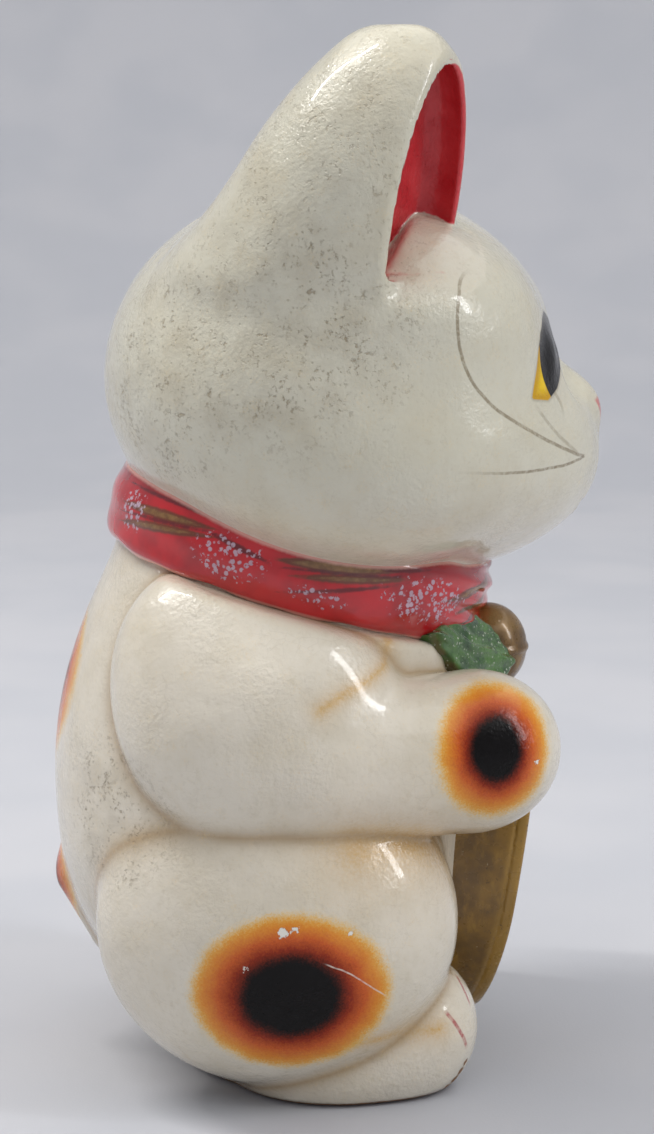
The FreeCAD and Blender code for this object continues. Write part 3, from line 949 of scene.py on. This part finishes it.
def white_glaze():
    """The body's glaze with everything painted on it, worn and chipped."""
    g = Glaze("white_glaze")
    colour = white_ground(g)
    marks, grimy = pores(g)
    colour = g.mix(g.times(grimy, g.ramp(g.noise(12.0), 0.4, 0.7, 0.0, 0.16)), colour, DIRT)
    airbrush = g.times(g.layer("amber"), g.ramp(g.noise(1.1, 2.0, 0.8), 0.3, 0.7, 0.7, 1.1))
    colour = g.mix(g.times(airbrush, 0.85), colour, AMBER)
    # Painted shade: the glaze is darkened to tan-brown in the creases where the parts meet.
    crease = g.layer("crease")
    colour = g.mix(g.times(crease, 0.75), colour, linear(160, 128, 78))
    colour = g.mix(g.times(marks, 0.50), colour, linear(132, 112, 76))
    colour, dark = spot_paint(g, colour)
    for side, opacity, half_width in LINES:
        colour = g.mix(thin_line(g, side, side + "_on", half_width, opacity), colour, LINE)
    colour = g.mix(thin_line(g, "lip", "lip_on", 0.5, 0.8), colour, linear(84, 60, 48))
    for side in ("claw_a", "claw_b"):
        colour = g.mix(thin_line(g, side, side + "_on", 0.75, 0.85), colour, linear(168, 50, 56))
    colour = g.mix(thin_line(g, "crack", "crack_on", 0.22, 0.8), colour, linear(222, 214, 198))
    colour, eye = eye_paint(g, colour)
    wander = g.times(g.centred(g.noise(5.0)), 0.9)
    red_edge = g.plus(g.layer("ear_red"), wander)
    red = g.ramp(red_edge, -0.35, 0.15, 1.0, 0.0)
    deep = g.mix(g.ramp(g.noise(9.0, 3.0), 0.35, 0.7), EAR_RED_PAINT, linear(192, 46, 52))
    colour = g.mix(red, colour, deep)
    colour = g.mix(g.ramp(g.layer("nose"), -0.6, 0.8, 0.9, 0.0), colour, linear(196, 84, 78))
    ragged = g.times(g.centred(g.noise(1.6, 3.0, 0.7)), 3.0)
    chip = g.ramp(g.plus(g.layer("chip"), ragged), -0.1, 0.1, 1.0, 0.0)
    colour = g.mix(chip, colour, linear(232, 228, 218))
    bare = g.ramp(g.plus(g.layer("bare"), ragged), -0.3, 0.3, 1.0, 0.0)
    foot = g.plus(g.height(), g.times(ragged, 0.35))
    bare = g.most(bare, g.ramp(foot, 1.2, 2.0, 1.0, 0.0))
    colour = g.mix(bare, colour, CLAY)
    rough = g.ramp(g.noise(7.0, 3.0), 0.3, 0.7, 0.14, 0.26)
    rough = g.most(rough, g.times(bare, 0.75))
    rough = g.most(rough, g.times(red, 0.32))
    rough = g.most(rough, g.times(marks, 0.6))
    pits = g.math("SUBTRACT", 1.0, g.most(marks, g.most(chip, bare)))
    grain = g.times(g.noise(1.5, 3.0, 0.6), g.ramp(g.noise(30.0, 2.0), 0.40, 0.62, 0.25, 1.0))
    g.bump((g.noise(24.0, 2.0), 1.1), (g.noise(6.0, 2.0), 0.18), (grain, 0.40), (pits, 0.2))
    shade = g.most(g.times(red, 0.6), g.times(eye, 0.95))
    matt = g.most(g.most(bare, dark), shade)
    coat = g.math("SUBTRACT", 0.5, g.times(matt, 0.46))
    specular = g.math("SUBTRACT", 0.5, g.times(matt, 0.36))
    return g.finish(colour, rough, coat, 0.0, specular)


# Brush strokes on the collar, as (millimetres round from the front, height) at both ends, and width.
GOLD_STROKES = [
    ((158.0, 1.6), (119.0, 5.4), 1.5), ((158.0, -4.6), (118.5, 3.0), 1.3),
    ((98.5, 2.6), (62.0, 8.2), 1.9), ((92.0, -0.8), (58.0, 6.4), 1.25),
    ((41.0, 1.2), (12.0, 8.8), 1.3), ((34.0, -3.0), (12.0, 3.0), 0.9),
]
DARK_STROKES = [
    ((96.0, -7.4), (58.0, 5.0), 0.6), ((122.0, 4.4), (99.0, 0.9), 0.9), ((98.0, 0.4), (76.0, 4.6), 0.5),
    ((70.0, 7.6), (50.0, 10.4), 0.8), ((32.0, -7.0), (10.0, -1.0), 0.6), ((165.0, 8.0), (100.0, 9.4), 0.6),
    ((160.0, -1.6), (116.0, 4.6), 0.5), ((88.0, 2.0), (56.0, 7.6), 0.45),
]
FLOWERS = [
    ((112.0, -1.5), (14.0, 9.0)), ((48.5, 0.6), (20.5, 9.0)), ((84.0, -5.5), (11.0, 4.0)),
    ((152.0, 0.5), (9.0, 8.0)),
]


def tapered(u, v, strokes):
    """Signed distance to strokes that are widest in the middle and pointed at both ends."""
    best = np.full(len(u), 9.0, np.float32)
    for (u0, v0), (u1, v1), width in strokes:
        length = math.hypot(u1 - u0, v1 - v0)
        cu, cv = (u1 - u0) / length, (v1 - v0) / length
        along = ((u - (u0 + u1) / 2) * cu + (v - (v0 + v1) / 2) * cv) / (length / 2)
        across = np.abs((v - (v0 + v1) / 2) * cu - (u - (u0 + u1) / 2) * cv)
        best = np.minimum(best, across - width * (1.0 - np.clip(along, -1.5, 1.5) ** 2))
    return best


def collar_paint(p):
    out, up, angle = collar_frame(p)
    arc = np.abs(angle) * 58.0
    petals = np.full(len(p), 9.0, np.float32)
    for (u, v), (reach_u, reach_v) in FLOWERS:
        petals = np.minimum(petals, np.hypot((arc - u) / reach_u, (up - v) / reach_v))
    fade = ease(out, -1.0, 2.0)
    return {
        "gold": tapered(arc, up, GOLD_STROKES), "dark": tapered(arc, up, DARK_STROKES),
        "petals": petals, "up": up, "outside": fade, "meets": body(p) * fade + 3.0 * (1.0 - fade),
    }


def leaf_paint(p):
    along, across, _, _ = leaf_frame(mirror_right(p))
    return {"rim": leaf_width(along) - np.abs(across)}


def bell_paint(p):
    return {"bell_height": p[:, 2] - BELL[2]}


def coin_paint(p):
    return {"ahead": coin_ahead(coin_frame(p))}


def red_glaze():
    """Glossy red with painted blossoms, gold-brown strokes, a painted shadow along its upper edge, and
    thin pale edges that are partly the glaze's own edge and partly a painted highlight.
    """
    g = Glaze("red_glaze")
    colour = g.mix(g.ramp(g.noise(14.0, 3.0), 0.35, 0.7), linear(198, 20, 30), linear(164, 14, 24))
    up = g.plus(g.layer("up"), g.times(g.centred(g.noise(14.0)), 2.0))
    shadow = g.ramp(up, 6.0, 11.0, 0.0, 0.55)
    colour = g.mix(shadow, colour, linear(116, 8, 18))
    ragged = g.times(g.centred(g.noise(2.2, 3.0, 0.7)), 1.6)
    gold = g.plus(g.layer("gold"), g.times(ragged, 0.55))
    colour = g.mix(g.ramp(gold, -0.2, 0.7, 0.9, 0.0), colour, linear(96, 50, 24))
    streaks = g.mix(g.ramp(g.noise(2.4, 3.0), 0.3, 0.7), linear(142, 104, 56), linear(112, 74, 38))
    colour = g.mix(g.ramp(gold, -1.0, -0.25, 1.0, 0.0), colour, streaks)
    dark = g.plus(g.layer("dark"), g.times(ragged, 0.5))
    colour = g.mix(g.ramp(dark, -0.3, 0.4, 0.85, 0.0), colour, linear(86, 14, 20))
    # Thin pale edges where the band meets the body and along its lower edge: partly the glaze thinning at
    # its edge, partly a painted highlight.
    pale = g.ramp(g.plus(g.layer("meets"), g.times(ragged, 0.3)), 0.3, 1.2, 0.75, 0.0)
    pale = g.most(pale, g.ramp(g.layer("up"), -12.6, -11.4, 0.75, 0.0))
    colour = g.mix(pale, colour, linear(232, 176, 160))
    petals = g.layer("petals")
    dense = g.ramp(petals, 0.30, 1.05, 1.0, 0.0)
    dab = g.cells(1.9, "F1")
    pick = g.noise(1.6, 2.0, 0.6)
    on = g.ramp(g.plus(pick, g.times(dense, 0.22)), 0.60, 0.66)
    dabs = g.times(g.ramp(dab, 0.38, 0.52, 1.0, 0.0), on)
    dabs = g.times(dabs, g.ramp(dense, 0.02, 0.25))
    dabs = g.times(dabs, g.layer("outside"))
    white = g.mix(g.noise(3.0), linear(214, 190, 204), linear(168, 140, 160))
    colour = g.mix(g.times(dabs, 0.88), colour, white)
    raised = g.ramp(gold, -1.0, 0.5, 1.0, 0.0)
    g.bump((g.noise(11.0, 2.0), 0.5), (g.noise(2.6, 2.0), 0.05), (dabs, 0.12), (raised, 0.10))
    return g.finish(colour, g.ramp(g.noise(6.0), 0.3, 0.7, 0.10, 0.22), 0.6)


def green_glaze():
    """Leaf green, flecked with white, browned and worn at the edges."""
    g = Glaze("green_glaze")
    colour = g.mix(g.ramp(g.noise(7.0, 4.0), 0.35, 0.68), linear(78, 118, 52), linear(40, 74, 36))
    rim = g.plus(g.layer("rim"), g.times(g.centred(g.noise(3.0, 3.0)), 2.4))
    colour = g.mix(g.ramp(rim, -0.3, 0.8, 0.7, 0.0), colour, linear(92, 66, 40))
    dots = g.ramp(g.cells(1.3, "F1"), 0.22, 0.36, 1.0, 0.0)
    dots = g.times(dots, g.ramp(g.noise(2.6, 2.0), 0.47, 0.56))
    dots = g.times(dots, g.ramp(g.noise(11.0, 2.0), 0.36, 0.52))
    colour = g.mix(g.times(dots, 0.8), colour, linear(196, 204, 184))
    g.bump((g.noise(6.0, 3.0), 0.5), (g.noise(1.6, 3.0), 0.10), (dots, 0.10))
    return g.finish(colour, g.ramp(g.noise(4.0), 0.3, 0.7, 0.16, 0.34), 0.4)


def gold_glaze(name, light, mid, dark, edge, edge_low, edge_high):
    """Gold-brown glaze, streaked and rubbed, and lighter towards one edge: on the bell that is painted
    light on its upper half, on the coin it is towards its face.
    """
    g = Glaze(name)
    colour = g.mix(g.ramp(g.noise(13.0, 4.0, 0.6), 0.34, 0.68), mid, dark)
    colour = g.mix(g.ramp(g.noise(4.0, 4.0, 0.7, (1.0, 1.0, 0.35)), 0.50, 0.74, 0.0, 0.6), colour, light)
    # Lighter towards the given edge: painted light on the bell's upper half; on the coin, lighter towards
    # its face.
    front = g.plus(g.layer(edge), g.times(g.centred(g.noise(8.0, 2.0)), 2.0))
    colour = g.mix(g.ramp(front, edge_low, edge_high, 0.0, 0.65), colour, light)
    patches = g.ramp(g.noise(16.0, 2.0), 0.45, 0.6)
    worn = g.times(g.ramp(g.noise(2.2, 4.0, 0.7), 0.60, 0.68), patches)
    colour = g.mix(g.times(worn, 0.7), colour, linear(60, 46, 26))
    chips = g.times(g.ramp(g.noise(1.7, 3.0, 0.6), 0.69, 0.73), g.ramp(g.noise(20.0), 0.5, 0.6))
    colour = g.mix(g.times(chips, 0.8), colour, linear(208, 196, 168))
    rough = g.most(g.ramp(g.noise(8.0, 3.0), 0.3, 0.7, 0.20, 0.36), g.times(worn, 0.7))
    g.bump((g.noise(15.0, 2.0), 0.7), (g.noise(3.0, 3.0), 0.10), (g.math("SUBTRACT", 1.0, worn), 0.08))
    return g.finish(colour, rough, 0.35, 0.18)


def bare_clay():
    g = Glaze("bare_clay_slab")
    colour = g.mix(g.ramp(g.noise(18.0, 4.0), 0.35, 0.7), linear(168, 134, 104), linear(138, 104, 78))
    grit = g.ramp(g.noise(1.2, 3.0, 0.7), 0.58, 0.70)
    colour = g.mix(g.times(grit, 0.5), colour, linear(92, 68, 52))
    g.bump((g.noise(14.0, 3.0), 0.5), (g.noise(1.4, 4.0, 0.7), 0.15))
    return g.finish(colour, g.ramp(g.noise(5.0), 0.3, 0.7, 0.75, 0.92), specular=0.25)


def dark_rubber():
    g = Glaze("dark_rubber")
    colour = g.mix(g.ramp(g.noise(9.0, 4.0), 0.35, 0.7), linear(44, 42, 42), linear(66, 63, 60))
    dust = g.ramp(g.noise(2.5, 4.0, 0.7), 0.56, 0.75, 0.0, 0.35)
    colour = g.mix(dust, colour, linear(120, 112, 100))
    g.bump((g.noise(6.0, 3.0), 0.2), (g.noise(0.9, 3.0), 0.03))
    return g.finish(colour, g.ramp(g.noise(4.0), 0.3, 0.7, 0.48, 0.68), specular=0.35)


# ------------------------------------------------------------------ the whole cat
def build_cat():
    """Every glazed piece, with the box in millimetres that each trim piece fits in."""
    gold = linear(164, 126, 48), linear(132, 97, 26), linear(96, 68, 18)
    brass = linear(150, 116, 60), linear(114, 84, 40), linear(72, 52, 27)
    red, green = red_glaze(), green_glaze()
    # The bell is painted lighter on its upper half: painted light from above.
    bell_glaze = gold_glaze("gold_glaze_bell", *brass, "bell_height", 4.0, 9.0)
    coin_glaze = gold_glaze("gold_glaze_coin", *gold, "ahead", -7.0, -3.5)
    for piece in build_body(white_glaze()).values():
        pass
    made = build_trim("collar_band", "collar", collar, (-72, -62, 140), (72, 84, 205), collar_paint, red)
    made = build_trim("bell_ball", "bell", bell, (-16, -70, 120), (16, -36, 155), bell_paint, bell_glaze)
    made = build_trim("coin_oval", "coin", coin, (-32, -76, 10), (32, -20, 118), coin_paint, coin_glaze)
    for name, side, low, high in (("bib_right", -1, -56, 2), ("bib_left", 1, -2, 56)):
        def one_leaf(p, side=side):
            return np.where(p[:, 0] * side > 0, leaf(p), 5.0)
        corners = (low, -76, 118), (high, -14, 164)
        made = build_trim("leaf_" + name, name, one_leaf, *corners, leaf_paint, green)


def dress_cad(node, material):
    """A better material for a piece that is shown as the CAD has it."""
    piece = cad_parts[node]
    piece.data.materials.clear()
    piece.data.materials.append(material)


# ------------------------------------------------------------------ backdrop, camera and light
LOOK_AT = Vector((0.0, 0.0, 0.17))
CAMERA = (-0.918, 0.001, 0.316)
CAMERA_TILT = math.radians(9.4)             # downwards
CAMERA_LENS = 88.76
FLOOR_FLAT = 1.3           # radius of the level part of the backdrop, in metres
FLOOR_WALL = 2.6           # radius where it has curved up into a wall
WALL_TOP = 2.4


def backdrop():
    """A pale sheet: a level round floor that curves up into a wall all round."""
    profile = [(0.0, 0.0), (0.5 * FLOOR_FLAT, 0.0), (FLOOR_FLAT, 0.0)]
    rise = FLOOR_WALL - FLOOR_FLAT
    for step in range(1, 17):
        angle = step / 16 * math.pi / 2
        profile.append((FLOOR_FLAT + rise * math.sin(angle), rise * (1.0 - math.cos(angle))))
    profile.append((FLOOR_WALL, WALL_TOP))
    around = 96
    points, faces = [], []
    for radius, height in profile:
        for step in range(around):
            angle = math.tau * step / around
            points.append((radius * math.cos(angle), radius * math.sin(angle), height))
    for ring in range(len(profile) - 1):
        for step in range(around):
            here, ahead = ring * around + step, ring * around + (step + 1) % around
            faces.append((here, ahead, ahead + around, here + around))
    mesh = bpy.data.meshes.new("backdrop")
    mesh.from_pydata(points, [], faces)
    mesh.shade_smooth()
    g = Glaze("backdrop_cloth")
    colour = g.mix(g.ramp(g.noise(160.0, 2.0), 0.35, 0.65), linear(190, 191, 196), linear(184, 186, 192))
    g.bump((g.noise(1.1, 2.0), 0.05))
    mesh.materials.append(g.finish(colour, 0.9, specular=0.1))
    sheet = bpy.data.objects.new("backdrop", mesh)
    bpy.context.collection.objects.link(sheet)


def add_camera():
    camera = bpy.data.objects.new("camera", bpy.data.cameras.new("camera"))
    bpy.context.collection.objects.link(camera)
    camera.location = CAMERA
    ahead = Vector((math.cos(CAMERA_TILT), 0.0, -math.sin(CAMERA_TILT)))
    camera.rotation_euler = ahead.to_track_quat("-Z", "Y").to_euler()
    camera.data.lens = CAMERA_LENS
    camera.data.sensor_width = 36.0
    bpy.context.scene.camera = camera


def add_light(name, place, size, power, colour=(1.0, 1.0, 1.0)):
    """A rectangular soft light aimed at the cat."""
    light = bpy.data.lights.new(name, "AREA")
    light.shape = "RECTANGLE"
    light.size, light.size_y = size
    light.energy = power
    light.color = colour
    lamp = bpy.data.objects.new(name, light)
    bpy.context.collection.objects.link(lamp)
    lamp.location = place
    lamp.rotation_euler = (LOOK_AT - Vector(place)).to_track_quat("-Z", "Y").to_euler()


def add_surroundings():
    world = bpy.data.worlds.new("soft_room")
    world.use_nodes = True
    world.node_tree.nodes["Background"].inputs[0].default_value = (1.0, 0.99, 0.98, 1.0)
    world.node_tree.nodes["Background"].inputs[1].default_value = 1.22
    bpy.context.scene.world = world
    add_light("overhead", (0.20, 0.82, 1.52), (0.045, 0.90), 14.0, (1.0, 0.98, 0.95))
    add_light("window", (-0.42, -1.26, 0.95), (0.16, 1.00), 7.0, (0.98, 0.99, 1.0))


bpy.context.scene.view_settings.view_transform = "Standard"
build_cat()
dress_cad("base_plate", bare_clay())
dress_cad("stopper", dark_rubber())
backdrop()
add_surroundings()
add_camera()
